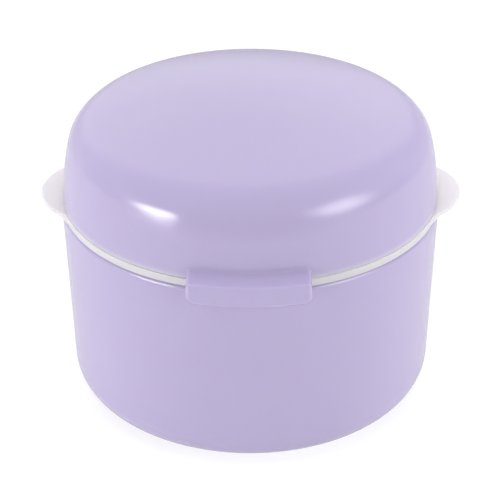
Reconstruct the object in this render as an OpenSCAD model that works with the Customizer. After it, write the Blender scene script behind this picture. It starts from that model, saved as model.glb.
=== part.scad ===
// Denture case: a lilac cup with a hinged domed lid that snaps shut at the front, and a white
// strainer basket that hangs in the cup by its flange and lifts out by its two ears.
// Millimetres, +Z up. The origin is the middle of the foot's flat face. The snap tab points
// towards -Y, the hinge towards +Y and the ears towards -X and +X.

/* [Cup] */
// Outer diameter of the cup across its rim
cup_rim_d = 85; // [82:0.5:90]
// Outer diameter of the cup where its wall line meets the foot
cup_foot_d = 82.2; // [78:0.2:84]
// Height of the cup from foot to rim
cup_h = 45.7; // [40:0.1:60]
// Thickness of the cup's wall
cup_wall = 2; // [1.6:0.1:2.4]
// Thickness of the cup's floor
cup_floor = 2.2; // [1.6:0.1:3]
// Radius of the round edge between the cup's wall and its base
cup_corner_r = 7.5; // [5:0.1:9]
// Radius of the rim's rounded outer edge
rim_round_r = 0.7; // [0.3:0.1:1]
// Width of the flat foot ring
foot_w = 5; // [3:0.5:8]
// Depth of the recess inside the foot ring
foot_recess = 0.7; // [0.3:0.1:1]

/* [Basket] */
// Radial gap between the basket's wall and the cup's wall
basket_gap = 0.8; // [0.5:0.1:1.5]
// Thickness of the basket's wall
basket_wall = 1.4; // [1:0.1:2]
// Thickness of the basket's floor
basket_floor = 1.5; // [1:0.1:2.5]
// Height of the space under the basket, where the liquid drains to
sump_h = 6.5; // [5:0.5:10]
// Radius of the round edge between the basket's wall and floor, outside
basket_corner_r = 6; // [4:0.5:8]
// Outer diameter of the flange that rests on the cup's rim
flange_d = 84.4; // [83:0.1:85]
// Thickness of the flange and the ears
flange_t = 1.5; // [1.2:0.1:2]
// Height of the lip that stands above the flange inside the lid
lip_h = 2.4; // [1:0.1:4]
// Thickness of the lip
lip_wall = 1.2; // [0.8:0.1:2]
// Radial gap between the lip and the lid's inner wall
lip_gap = 0.4; // [0.3:0.05:0.8]
// Distance from one ear's tip to the other's
ear_span = 94.4; // [92:0.2:100]
// Radius of the ear's round tip
ear_tip_r = 15; // [12:0.5:18]
// Radius of the hollow curve where the ear leaves the flange
ear_root_r = 9; // [4:0.5:12]
// Number of drain slots round the wall
slot_count = 24; // [12:2:28]
// Width of a drain slot
slot_w = 3; // [2:0.1:4]
// Height of a drain slot
slot_h = 15; // [8:0.5:20]
// Height of the slots' lower ends above the basket's floor
slot_lift = 6; // [5:0.5:10]
// Diameter of the large drain in the middle of the floor
drain_d = 8; // [6:0.5:9]
// Diameter of a small drain hole in the floor
hole_d = 4; // [2:0.1:5]
// Width of the floor between the large drain and the first ring of holes, and between rings
hole_web = 3.4; // [2:0.1:4]
// Number of rings of small drain holes
hole_rings = 3; // [1:1:3]

/* [Lid] */
// Outer diameter of the lid at its lower edge
lid_d = 84.1; // [83:0.1:85]
// Height of the lid from its lower edge to its crown
lid_h = 23.8; // [20:0.1:30]
// Thickness of the lid
lid_wall = 1.9; // [1.5:0.1:2.2]
// Gap between the flange and the lid's lower edge
lid_seat_gap = 0.05; // [0:0.05:0.2]
// Radius of the rounded outer edge along the lid's lower edge
lid_edge_r = 0.4; // [0.2:0.1:0.8]
// Lean of the lid's wall at its lower edge, in degrees from upright
lean_low = 1.1; // [0.5:0.1:3]
// Lean of the lid's wall where the shoulder starts
lean_high = 13.2; // [10:0.1:16]
// Radius of the shoulder
shoulder_r = 9; // [7:0.5:12]
// Slope of the crown where it meets the shoulder, in degrees from level
crown_slope = 15; // [10:1:20]

/* [Latch] */
// Width of the snap tab along its lower edge
latch_w = 25.8; // [20:0.1:32]
// Width that the tab loses towards its root, both sides together
latch_taper = 0.5; // [0:0.1:1]
// Gap between the catch bead and the tab's inner face
latch_gap = 0.9; // [0.7:0.1:2]
// Thickness of the tab
latch_t = 1.8; // [1.5:0.1:2]
// Height of the tab's outer edge above the cup's rim
latch_up = 3; // [2.6:0.1:3.4]
// Depth of the tab's lower edge below the cup's rim
latch_down = 2.15; // [2:0.05:3]
// Rise of the tab's top from its outer edge to its root
latch_rise = 0.8; // [0.4:0.1:1.2]
// Radius of the tab's two lower corners
latch_corner_r = 1.8; // [1:0.1:2]
// Rounding of the tab's outer edges
latch_edge_r = 0.45; // [0.2:0.05:0.6]
// Gap between the tab's root and the lid's wall
latch_root_gap = 0.1; // [0.05:0.05:0.2]
// Distance that the catch bead stands out from the cup's rim
bead_out = 1.4; // [1:0.1:1.6]
// Height of the catch bead
bead_h = 0.9; // [0.7:0.1:1]
// Width of the catch bead
bead_w = 18; // [12:1:20]
// Gap between the hook's tip and the bead, where the real hook bites
hook_gap = 0.15; // [0.1:0.05:0.3]

/* [Hinge] */
// Diameter of the hinge pin
pin_d = 2; // [1.6:0.1:2.2]
// Outer diameter of the knuckles
knuckle_d = 3.8; // [3.4:0.1:4.2]
// Gap between the cup's rim and the lid's knuckle
knuckle_gap = 0.3; // [0.2:0.05:0.6]
// Depth of the hinge axis below the cup's rim
hinge_drop = 1.5; // [1:0.1:2]
// Length of the whole hinge
hinge_len = 24; // [20:1:30]
// Length of the lid's knuckle, in the middle
lid_knuckle_len = 12; // [8:1:14]
// Gap between one knuckle and the next
knuckle_side_gap = 0.3; // [0.2:0.05:0.5]
// Radial clearance of the pin in the lid's knuckle, where it turns
pin_run_gap = 0.05; // [0.03:0.01:0.1]
// Radial clearance of the pin in the cup's knuckles, where it is held
pin_hold_gap = 0.01; // [0:0.01:0.02]
// Distance that each pin end stays inside the hinge
pin_inset = 0.4; // [0:0.1:1]
// Height of the web under the cup's knuckles
web_h = 8; // [5:0.5:12]
// Height of the arm that joins the lid's knuckle to the lid's wall
arm_h = 6; // [4:0.5:8]
// Gap between the flange and the arm that crosses over it
arm_gap = 0.5; // [0.3:0.1:1]

/* [Hidden] */
$fn = 96;

// Number of straight steps in each arc of an outline
arc_steps = 16;
// Number of straight steps in the round end of a drain slot
slot_steps = 6;
// Distance that a cutting shape runs past the face it cuts
over = 1;
// Depth to which a blended outline sinks into what it joins
sink = 0.01;

lilac = [0.75, 0.70, 0.86];
white = [0.93, 0.93, 0.94];
steel = [0.74, 0.75, 0.77];

// Cup
cup_rim_r = cup_rim_d / 2;
wall_slope = atan((cup_rim_r - cup_foot_d / 2) / cup_h);
foot_out_r = corner_centre(0, cup_corner_r, 0)[0];
foot_in_r = foot_out_r - foot_w;
cavity_corner_r = cup_corner_r - cup_wall;

// Basket
basket_inset = cup_wall + basket_gap;
basket_floor_z = cup_floor + sump_h;
flange_r = flange_d / 2;
ear_x = ear_span / 2 - ear_tip_r;
slot_z = basket_floor_z + basket_floor + slot_lift;

// Lid, as three arcs that run smoothly into each other: wall, shoulder and crown
lid_r = lid_d / 2;
lid_z = cup_h + flange_t + lid_seat_gap;
crown_angle = 90 - crown_slope;
crown_rise = (1 - sin(crown_angle)) / cos(crown_angle);
shoulder_in = shoulder_r * (cos(lean_high) - cos(crown_angle));
shoulder_rise = shoulder_r * (sin(crown_angle) - sin(lean_high));
wall_arc_r = (lid_h - shoulder_rise - crown_rise * (lid_r - shoulder_in))
    / (sin(lean_high) - sin(lean_low) - crown_rise * (cos(lean_low) - cos(lean_high)));
wall_centre = [lid_r - wall_arc_r * cos(lean_low), lid_z - wall_arc_r * sin(lean_low)];
shoulder_centre = wall_centre + (wall_arc_r - shoulder_r) * [cos(lean_high), sin(lean_high)];
crown_r = shoulder_centre[0] / cos(crown_angle) + shoulder_r;
crown_centre = [0, shoulder_centre[1] - shoulder_centre[0] * tan(crown_angle)];
lid_in_start = asin((lid_z - wall_centre[1]) / (wall_arc_r - lid_wall));
lid_in_r = wall_centre[0] + (wall_arc_r - lid_wall) * cos(lid_in_start);
lip_r = lid_in_r - lip_gap;
lid_edge_x = wall_centre[0]
    + sqrt((wall_arc_r - lid_edge_r) ^ 2 - (lid_z + lid_edge_r - wall_centre[1]) ^ 2);
lid_edge_end = atan2(lid_z + lid_edge_r - wall_centre[1], lid_edge_x - wall_centre[0]);

// Latch
latch_top_z = cup_h + latch_up;
latch_low_z = cup_h - latch_down;
latch_root_r = lid_r + latch_root_gap;
latch_root_z = latch_top_z + latch_rise;
bead_r = cup_rim_r + bead_out;
bead_top_z = latch_low_z + 2 * bead_h;
hook_r = bead_r + hook_gap;
latch_in_r = bead_r + latch_gap;
latch_reach = latch_in_r + latch_t;

// Hinge
knuckle_r = knuckle_d / 2;
hinge_y = cup_rim_r + knuckle_gap + knuckle_r;
hinge_z = cup_h - hinge_drop;
cup_knuckle_len = (hinge_len - lid_knuckle_len) / 2 - knuckle_side_gap;

// Points along an arc from one angle to another.
function arc(centre, r, from, to, steps = arc_steps) =
    [for (i = [0 : steps])
        let (a = from + (to - from) * i / steps)
        [centre[0] + r * cos(a), centre[1] + r * sin(a)]];

// Radius at height z of the cup's wall line, moved inwards by inset.
function wall_r(z, inset) = cup_foot_d / 2 + z * tan(wall_slope) - inset / cos(wall_slope);

// Centre of the arc that rounds the wall line into a floor at height z.
function corner_centre(z, r, inset) = [wall_r(z + r, inset + r), z + r];

// Floor and wall outline of a bowl that follows the cup's slope, from its axis to its top.
function bowl(floor_z, top_z, corner_r, inset) = concat(
    [[0, floor_z]],
    arc(corner_centre(floor_z, corner_r, inset), corner_r, -90, -wall_slope),
    [[wall_r(top_z, inset), top_z]]
);

// Shoulder and crown outline of the lid, moved inwards by inset, from its wall to its axis.
function dome(inset) = concat(
    arc(shoulder_centre, shoulder_r - inset, lean_high, crown_angle),
    arc(crown_centre, crown_r - inset, crown_angle, 90)
);

// An outline in the YZ plane, given width w along X about the middle.
module across(w) {
    rotate([90, 0, 90])
        linear_extrude(height = w, center = true)
            children();
}

// A rod of radius r and length w along the hinge axis.
module hinge_rod(r, w) {
    translate([0, hinge_y, hinge_z])
        rotate([0, 90, 0])
            cylinder(r = r, h = w, center = true);
}

// The cup before its hollow is cut: foot ring, round corner, sloping wall, rounded rim.
module cup_solid() {
    rotate_extrude()
        polygon(concat(
            [[0, foot_recess], [foot_in_r - foot_recess, foot_recess], [foot_in_r, 0]],
            arc(corner_centre(0, cup_corner_r, 0), cup_corner_r, -90, -wall_slope),
            arc([wall_r(cup_h - rim_round_r, rim_round_r), cup_h - rim_round_r],
                rim_round_r, -wall_slope, 90),
            [[0, cup_h]]
        ));
}

// The hollow of the cup, open at the top.
module cup_hollow() {
    rotate_extrude()
        polygon(concat(
            bowl(cup_floor, cup_h + over, cavity_corner_r, cup_wall),
            [[0, cup_h + over]]
        ));
}

// The bead below the rim at the front, which the tab's hook snaps under.
module catch_bead() {
    intersection() {
        rotate_extrude()
            polygon([
                [cup_rim_r - cup_wall / 2, bead_top_z - bead_h],
                [bead_r - bead_h / 4, bead_top_z - bead_h],
                [bead_r, bead_top_z - 3 * bead_h / 4],
                [bead_r, bead_top_z - bead_h / 2],
                [cup_rim_r - rim_round_r, bead_top_z],
                [cup_rim_r - cup_wall / 2, bead_top_z]
            ]);
        translate([-bead_w / 2, -bead_r - over, 0])
            cube([bead_w, bead_r, cup_h + over]);
    }
}

// One of the cup's two knuckles, with the web that carries it.
module cup_knuckle(side) {
    translate([side * (hinge_len - cup_knuckle_len) / 2, 0, 0])
        across(cup_knuckle_len) {
            translate([hinge_y, hinge_z])
                circle(r = knuckle_r);
            polygon([
                [cup_rim_r - 2 * cup_wall, hinge_z - web_h],
                [cup_rim_r, hinge_z - web_h],
                [hinge_y + knuckle_r * cos(30), hinge_z - knuckle_r * sin(30)],
                [hinge_y, hinge_z],
                [hinge_y, cup_h - rim_round_r],
                [cup_rim_r - 2 * cup_wall, cup_h - rim_round_r]
            ]);
        }
}

module outer_cup() {
    color(lilac)
        difference() {
            union() {
                cup_solid();
                catch_bead();
                cup_knuckle(-1);
                cup_knuckle(1);
            }
            cup_hollow();
            hinge_rod(pin_d / 2 + pin_hold_gap, hinge_len + over);
        }
}

// The basket's floor, wall and lip, without the flange.
module basket_shell() {
    lip_top_z = cup_h + flange_t + lip_h;
    inner = bowl(basket_floor_z + basket_floor, cup_h, basket_corner_r - basket_wall,
        basket_inset + basket_wall);
    rotate_extrude()
        polygon(concat(
            bowl(basket_floor_z, cup_h, basket_corner_r, basket_inset),
            [
                [lip_r, cup_h + flange_t],
                [lip_r, lip_top_z],
                [lip_r - lip_wall, lip_top_z]
            ],
            [for (i = [len(inner) - 1 : -1 : 0]) inner[i]]
        ));
}

// One ear's outline, pointing to +X: a round tip with a hollow curve on each side of its root.
module ear_outline() {
    root_r = flange_r - sink;
    blend_x = ((root_r + ear_root_r) ^ 2 - (ear_tip_r + ear_root_r) ^ 2 + ear_x ^ 2) / (2 * ear_x);
    blend_y = sqrt((root_r + ear_root_r) ^ 2 - blend_x ^ 2);
    tip_turn = atan2(blend_y, blend_x - ear_x);
    root_turn = atan2(blend_y, blend_x);
    polygon(concat(
        arc([blend_x, -blend_y], ear_root_r, 180 - root_turn, 180 - tip_turn),
        arc([ear_x, 0], ear_tip_r, -tip_turn, tip_turn),
        arc([blend_x, blend_y], ear_root_r, 180 + tip_turn, 180 + root_turn)
    ));
}

// The flange that lies on the cup's rim, with its two ears.
module flange() {
    translate([0, 0, cup_h])
        linear_extrude(height = flange_t)
            difference() {
                union() {
                    circle(r = flange_r);
                    ear_outline();
                    mirror([1, 0])
                        ear_outline();
                }
                circle(r = lip_r - lip_wall / 2);
            }
}

// The tool that cuts one drain slot through the wall: a slot with round ends, standing upright.
module slot_cutter() {
    translate([0, 0, slot_z])
        rotate([90, 0, 90])
            linear_extrude(height = cup_rim_r)
                polygon(concat(
                    arc([0, slot_w / 2], slot_w / 2, 180, 360, slot_steps),
                    arc([0, slot_h - slot_w / 2], slot_w / 2, 0, 180, slot_steps)
                ));
}

// The tool that cuts a round drain of diameter d through the floor.
module hole_cutter(d) {
    translate([0, 0, basket_floor_z - over])
        cylinder(d = d, h = basket_floor + 2 * over);
}

module strainer_basket() {
    color(white)
        difference() {
            union() {
                basket_shell();
                flange();
            }
            for (i = [0 : slot_count - 1])
                rotate([0, 0, (i + 0.5) * 360 / slot_count])
                    slot_cutter();
            hole_cutter(drain_d);
            for (ring = [1 : hole_rings], i = [0 : 6 * ring - 1])
                rotate([0, 0, i * 60 / ring])
                    translate([drain_d / 2 + ring * (hole_web + hole_d) - hole_d / 2, 0, 0])
                        hole_cutter(hole_d);
        }
}

// The lid before its hollow is cut.
module lid_solid() {
    rotate_extrude()
        polygon(concat(
            [[0, lid_z]],
            arc([lid_edge_x, lid_z + lid_edge_r], lid_edge_r, -90, lid_edge_end),
            arc(wall_centre, wall_arc_r, lid_edge_end, lean_high),
            dome(0)
        ));
}

// The hollow of the lid, open at the bottom.
module lid_hollow() {
    rotate_extrude()
        polygon(concat(
            [[0, lid_z - over], [lid_in_r, lid_z - over]],
            arc(wall_centre, wall_arc_r - lid_wall, lid_in_start, lean_high),
            dome(lid_wall)
        ));
}

// The lid's knuckle and the arm that crosses over the flange to the lid's wall.
module lid_knuckle() {
    across(lid_knuckle_len) {
        translate([hinge_y, hinge_z])
            circle(r = knuckle_r);
        polygon([
            [hinge_y - knuckle_r, hinge_z],
            [hinge_y - knuckle_r, lid_z + arm_gap],
            [lid_r - 2 * lid_wall, lid_z + arm_gap],
            [lid_r - 2 * lid_wall, lid_z + arm_h],
            [lid_r - lid_wall / 2, lid_z + arm_h],
            [hinge_y + knuckle_r, lid_z + arm_h / 3],
            [hinge_y + knuckle_r, hinge_z]
        ]);
    }
}

module lid() {
    color(lilac)
        difference() {
            union() {
                lid_solid();
                lid_knuckle();
            }
            lid_hollow();
            hinge_rod(pin_d / 2 + pin_run_gap, lid_knuckle_len + over);
        }
}

// The tab's section: root, top, outer face, hook and inner face.
module latch_section() {
    polygon(concat(
        [[latch_root_r, latch_root_z - latch_t], [latch_root_r, latch_root_z]],
        arc([latch_reach - latch_edge_r, latch_top_z - latch_edge_r], latch_edge_r, 80, 0),
        arc([latch_reach - latch_edge_r, latch_low_z + latch_edge_r], latch_edge_r, 0, -90),
        [
            [(hook_r + latch_in_r) / 2, latch_low_z],
            [hook_r, latch_low_z + bead_h / 3],
            [hook_r, latch_low_z + 2 * bead_h / 3],
            [latch_in_r, latch_low_z + 1.2 * bead_h],
            [latch_in_r, latch_root_z - latch_t - 0.6 * latch_rise]
        ]
    ));
}

// The tab seen from the front: nearly parallel sides and two round lower corners.
module latch_front() {
    low = latch_w / 2;
    high = low - latch_taper / 2;
    corner_x = low - latch_corner_r;
    polygon(concat(
        arc([-corner_x, latch_low_z + latch_corner_r], latch_corner_r, -180, -90),
        arc([corner_x, latch_low_z + latch_corner_r], latch_corner_r, -90, 0),
        [[high, latch_root_z + over], [-high, latch_root_z + over]]
    ));
}

module latch_tab() {
    color(lilac)
        intersection() {
            rotate_extrude()
                latch_section();
            rotate([90, 0, 0])
                linear_extrude(height = latch_reach + over)
                    latch_front();
        }
}

module hinge_pin() {
    color(steel)
        hinge_rod(pin_d / 2, hinge_len - 2 * pin_inset);
}

outer_cup();
strainer_basket();
lid();
latch_tab();
hinge_pin();
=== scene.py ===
# %% [markdown]
# # A round denture case, dressed for its photograph
#
# The case is four mouldings and a pin: a lilac cup, a white strainer basket that hangs in it, a
# domed lilac lid on a rear hinge, and a snap tab at the front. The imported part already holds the
# exact solids. This script gives each of them a smooth skin, a finish, a floor and a studio.
# It starts with the frame, so that every new piece lands in the same place as its solid.

import math

import bmesh
import bpy
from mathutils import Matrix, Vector


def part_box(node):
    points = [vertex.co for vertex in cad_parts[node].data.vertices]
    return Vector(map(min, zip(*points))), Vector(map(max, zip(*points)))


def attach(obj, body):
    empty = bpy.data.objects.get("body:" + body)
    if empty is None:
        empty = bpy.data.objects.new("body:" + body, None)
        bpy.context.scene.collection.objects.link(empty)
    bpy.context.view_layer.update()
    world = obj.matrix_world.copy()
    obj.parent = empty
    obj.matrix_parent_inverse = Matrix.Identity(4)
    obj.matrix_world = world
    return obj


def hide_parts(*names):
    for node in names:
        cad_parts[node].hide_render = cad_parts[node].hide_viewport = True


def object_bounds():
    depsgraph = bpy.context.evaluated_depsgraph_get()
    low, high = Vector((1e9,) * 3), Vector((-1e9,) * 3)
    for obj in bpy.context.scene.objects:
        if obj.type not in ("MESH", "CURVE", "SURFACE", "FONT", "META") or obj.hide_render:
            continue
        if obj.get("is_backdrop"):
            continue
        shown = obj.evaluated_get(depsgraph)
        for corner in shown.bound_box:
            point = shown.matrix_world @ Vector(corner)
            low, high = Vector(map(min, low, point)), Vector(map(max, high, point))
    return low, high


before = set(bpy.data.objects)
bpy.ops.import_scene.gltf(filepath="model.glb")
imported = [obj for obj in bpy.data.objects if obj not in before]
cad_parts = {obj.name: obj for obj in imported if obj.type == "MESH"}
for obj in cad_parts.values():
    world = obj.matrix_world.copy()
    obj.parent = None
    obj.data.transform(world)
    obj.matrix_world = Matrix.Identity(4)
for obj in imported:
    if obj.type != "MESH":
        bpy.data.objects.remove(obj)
cad_low, cad_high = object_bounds()
scene = bpy.context.scene
mm = 0.001
for name in sorted(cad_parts):
    low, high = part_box(name)
    size = [round((b - a) / mm, 2) for a, b in zip(low, high)]
    print("solid", name, "measures", size, "mm")

# %% [markdown]
# ## Outlines for turned pieces
#
# Cup, basket and lid are round mouldings, so each is one outline turned about the case's axis.
# A mould has no knife edges: each corner of an outline carries a radius. The corners could be
# bevelled after turning, but a bevel on a 256-sided piece is slow and can pinch. Rounding the
# outline first costs nothing. Beside each round edge one more point keeps the flat face flat
# when it is shaded smooth.

# %% Outline helpers
# the extra flat point stands this share of the radius past an arc, where there is room for it
flat_point_share = 0.3
flat_point_room = 2.2


def arc(centre, radius, start, end, steps=12):
    """Points on an arc, with the angles in degrees from the first axis to the second."""
    points = []
    for i in range(steps + 1):
        a = math.radians(start + (end - start) * i / steps)
        points.append((centre[0] + radius * math.cos(a), centre[1] + radius * math.sin(a)))
    return points


def rounded(corners, step=9.0, closed=False):
    """Turns corners (a, b, radius) into points, with an arc at each corner that has a radius."""
    count = len(corners)
    points = []
    for i, corner in enumerate(corners):
        here = Vector(corner[:2])
        radius = corner[2] if len(corner) > 2 else 0
        if radius == 0 or (not closed and i in (0, count - 1)):
            points.append(tuple(here))
            continue
        back = Vector(corners[i - 1][:2]) - here
        ahead = Vector(corners[(i + 1) % count][:2]) - here
        turn = math.pi - back.angle(ahead)
        cut = radius * math.tan(turn / 2)
        inwards = (back.normalized() + ahead.normalized()).normalized()
        centre = here + inwards * radius / math.cos(turn / 2)
        steps = max(3, math.ceil(math.degrees(turn) / step))
        start = here + back.normalized() * cut - centre
        end = here + ahead.normalized() * cut - centre
        spin = math.atan2(start.x * end.y - start.y * end.x, start.dot(end))
        beside = cut + flat_point_share * radius
        if back.length > flat_point_room * cut:
            points.append(tuple(here + back.normalized() * beside))
        for k in range(steps + 1):
            a = spin * k / steps
            c, s = math.cos(a), math.sin(a)
            x, y = start.x * c - start.y * s, start.x * s + start.y * c
            points.append((centre.x + x, centre.y + y))
        if ahead.length > flat_point_room * cut:
            points.append(tuple(here + ahead.normalized() * beside))
    return points


# %% [markdown]
# ## A tree that turns an outline
#
# Spin in edit mode or a Screw modifier could turn the outline. A Geometry Nodes tree is used,
# because its inputs have names and every round piece can share it. Curve to Mesh carries the
# outline round a small circle, and the outline is shifted inwards by that circle's radius, so
# its points on the axis meet there. Merge by Distance then closes the poles.

# %% Geometry Nodes: turn an outline about the axis
def new_tree(name, inputs):
    """An empty Geometry Nodes tree: Geometry and the given inputs in, Geometry out."""
    tree = bpy.data.node_groups.new(name, "GeometryNodeTree")
    tree.interface.new_socket("Geometry", in_out="INPUT", socket_type="NodeSocketGeometry")
    for title, kind, value in inputs:
        socket = tree.interface.new_socket(title, in_out="INPUT", socket_type="NodeSocket" + kind)
        if value is not None:
            socket.default_value = value
    tree.interface.new_socket("Geometry", in_out="OUTPUT", socket_type="NodeSocketGeometry")
    return tree, tree.nodes.new("NodeGroupInput"), tree.nodes.new("NodeGroupOutput")


def math_node(tree, operation, a, b=0.0):
    """A Math node. Each of a and b is a number or another node's output."""
    node = tree.nodes.new("ShaderNodeMath")
    node.operation = operation
    for socket, value in zip(node.inputs, (a, b)):
        if isinstance(value, (int, float)):
            socket.default_value = value
        else:
            tree.links.new(value, socket)
    return node.outputs[0]


weld_distance = 1e-6


def turning_tree():
    tree, given, result = new_tree("turn an outline", [
        ("Sides", "Int", 256),
        ("Path radius", "Float", 0.01),
        ("Material", "Material", None),
    ])
    add, link = tree.nodes.new, tree.links.new
    outline = add("GeometryNodeMeshToCurve")
    shift = add("ShaderNodeCombineXYZ")
    shifted = add("GeometryNodeSetPosition")
    path = add("GeometryNodeCurvePrimitiveCircle")
    upright = add("GeometryNodeSetCurveNormal")
    upright.mode = "Z_UP"
    skin = add("GeometryNodeCurveToMesh")
    weld = add("GeometryNodeMergeByDistance")
    weld.inputs["Distance"].default_value = weld_distance
    smooth = add("GeometryNodeSetShadeSmooth")
    finish = add("GeometryNodeSetMaterial")
    link(given.outputs["Geometry"], outline.inputs[0])
    link(math_node(tree, "MULTIPLY", given.outputs["Path radius"], -1), shift.inputs["X"])
    link(outline.outputs[0], shifted.inputs["Geometry"])
    link(shift.outputs[0], shifted.inputs["Offset"])
    link(given.outputs["Sides"], path.inputs["Resolution"])
    link(given.outputs["Path radius"], path.inputs["Radius"])
    link(path.outputs["Curve"], upright.inputs["Curve"])
    link(upright.outputs["Curve"], skin.inputs["Curve"])
    link(shifted.outputs[0], skin.inputs["Profile Curve"])
    link(skin.outputs[0], weld.inputs["Geometry"])
    link(weld.outputs[0], smooth.inputs[0])
    link(smooth.outputs[0], finish.inputs["Geometry"])
    link(given.outputs["Material"], finish.inputs["Material"])
    link(finish.outputs[0], result.inputs[0])
    return tree


turn_outline = turning_tree()
print("tree", turn_outline.name, "has", len(turn_outline.nodes), "nodes")


# %% [markdown]
# ## From modifier to plain mesh
#
# The finished pieces are plain meshes at the origin. `bake` evaluates an object with its
# modifiers, keeps the result as its mesh, removes the modifiers, and points all faces outwards.

# %% Bake helpers
same_point = 1e-7


def bake(piece, sharp=35.0):
    """Applies a piece's modifiers and turns its faces outwards; sharp edges stay from an angle."""
    graph = bpy.context.evaluated_depsgraph_get()
    mesh = bpy.data.meshes.new_from_object(piece.evaluated_get(graph))
    piece.modifiers.clear()
    piece.data = mesh
    work = bmesh.new()
    work.from_mesh(mesh)
    bmesh.ops.remove_doubles(work, verts=work.verts, dist=same_point)
    bmesh.ops.recalc_face_normals(work, faces=work.faces)
    for edge in work.edges:
        edge.smooth = edge.calc_face_angle(0) < math.radians(sharp)
    for face in work.faces:
        face.smooth = True
    work.to_mesh(mesh)
    open_edges = sum(not e.is_manifold for e in work.edges)
    work.free()
    mesh.name = piece.name
    print("baked", piece.name, len(mesh.polygons), "faces,", open_edges, "open edges")
    return piece


def new_piece(name, points, edges=(), faces=()):
    mesh = bpy.data.meshes.new(name)
    mesh.from_pydata(points, edges, faces)
    piece = bpy.data.objects.new(name, mesh)
    scene.collection.objects.link(piece)
    return piece


def set_inputs(modifier, **values):
    """Sets a Geometry Nodes modifier's inputs by name; underscores stand for spaces."""
    for socket in modifier.node_group.interface.items_tree:
        key = socket.name.replace(" ", "_")
        if socket.in_out == "INPUT" and key in values:
            modifier[socket.identifier] = values.pop(key)
    assert not values, values


def turned(name, outline, material, sides=256):
    """A piece turned about the case's axis from an outline of (radius, height) points."""
    points = [(r, -z, 0) for r, z in outline]
    piece = new_piece(name, points, [(i, i + 1) for i in range(len(points) - 1)])
    modifier = piece.modifiers.new("turn", "NODES")
    modifier.node_group = turn_outline
    set_inputs(modifier, Sides=sides, Material=material)
    return bake(piece)


# %% [markdown]
# ## Effects that the finishes share
#
# Injection-moulded plastic is never perfectly even. The melt leaves faint cloudy flow marks, the
# polished mould a slight waviness, and handling a few hairlines. Each of these is a shader
# group, built once and placed in each material with its own values. Painted image maps would
# also do, but noise in Object coordinates has no seams and needs no files.

# %% Shader group helpers
def new_effect(name, inputs, outputs):
    """An empty shader group with named sockets."""
    group = bpy.data.node_groups.new(name, "ShaderNodeTree")
    for title, kind, value in inputs:
        socket = group.interface.new_socket(title, in_out="INPUT", socket_type="NodeSocket" + kind)
        if value is not None:
            socket.default_value = value
    for title, kind in outputs:
        group.interface.new_socket(title, in_out="OUTPUT", socket_type="NodeSocket" + kind)
    return group, group.nodes.new("NodeGroupInput"), group.nodes.new("NodeGroupOutput")


def noise(tree, scale, detail=2.0, stretch=(1, 1, 1), turn=(0, 0, 0)):
    """Noise in the piece's own coordinates; scale is in features per metre."""
    place = tree.nodes.new("ShaderNodeTexCoord")
    mapping = tree.nodes.new("ShaderNodeMapping")
    mapping.inputs["Scale"].default_value = stretch
    mapping.inputs["Rotation"].default_value = turn
    texture = tree.nodes.new("ShaderNodeTexNoise")
    texture.inputs["Detail"].default_value = detail
    tree.links.new(place.outputs["Object"], mapping.inputs["Vector"])
    tree.links.new(mapping.outputs["Vector"], texture.inputs["Vector"])
    if isinstance(scale, (int, float)):
        texture.inputs["Scale"].default_value = scale
    else:
        tree.links.new(scale, texture.inputs["Scale"])
    return texture.outputs[0]


# %% Shader group: flow marks
flow_marks, given, result = new_effect("flow marks", [
    ("Colour", "Color", (1, 1, 1, 1)),
    ("Clouds per metre", "Float", 40.0),
    ("Strength", "Float", 0.03),
], [("Colour", "Color")])
cloud = noise(flow_marks, given.outputs["Clouds per metre"], 2.0)
centred = math_node(flow_marks, "SUBTRACT", cloud, 0.5)
swing = math_node(flow_marks, "MULTIPLY", centred, given.outputs["Strength"])
tint = flow_marks.nodes.new("ShaderNodeHueSaturation")
flow_marks.links.new(math_node(flow_marks, "ADD", swing, 1.0), tint.inputs["Value"])
flow_marks.links.new(math_node(flow_marks, "SUBTRACT", 1.0, swing), tint.inputs["Saturation"])
flow_marks.links.new(given.outputs["Colour"], tint.inputs["Color"])
flow_marks.links.new(tint.outputs[0], result.inputs[0])

# %% Shader group: mould skin, the waviness and fine grain of the mould's surface
mould_skin, given, result = new_effect("mould skin", [
    ("Waves per metre", "Float", 90.0),
    ("Wave height", "Float", 0.5),
    ("Grain per metre", "Float", 5000.0),
    ("Grain height", "Float", 0.1),
], [("Height", "Float")])
layers = []
for count, height in (("Waves per metre", "Wave height"), ("Grain per metre", "Grain height")):
    pattern = noise(mould_skin, given.outputs[count], 1.0)
    layers.append(math_node(mould_skin, "MULTIPLY", pattern, given.outputs[height]))
mould_skin.links.new(math_node(mould_skin, "ADD", *layers), result.inputs[0])

# %% Shader group: hairlines, fine scuffs that make the gloss a little uneven
hairlines, given, result = new_effect("hairlines", [
    ("Roughness", "Float", 0.25),
    ("Scuffs", "Float", 0.05),
    ("Lines per metre", "Float", 900.0),
], [("Roughness", "Float")])
line_stretch = (1, 0.03, 0.2)
line_level, line_steepness = 0.6, 6.0
scuffs = []
for turn in ((0.3, 0.2, 0.5), (1.1, -0.4, -0.9)):
    lines = noise(hairlines, given.outputs["Lines per metre"], 3.0, line_stretch, turn)
    peaks = math_node(hairlines, "SUBTRACT", lines, line_level)
    steep = math_node(hairlines, "MULTIPLY", peaks, line_steepness)
    scuffs.append(math_node(hairlines, "MAXIMUM", steep, 0.0))
both = math_node(hairlines, "ADD", *scuffs)
rough = math_node(hairlines, "MULTIPLY", both, given.outputs["Scuffs"])
uneven = math_node(hairlines, "ADD", rough, given.outputs["Roughness"])
hairlines.links.new(uneven, result.inputs[0])

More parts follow.
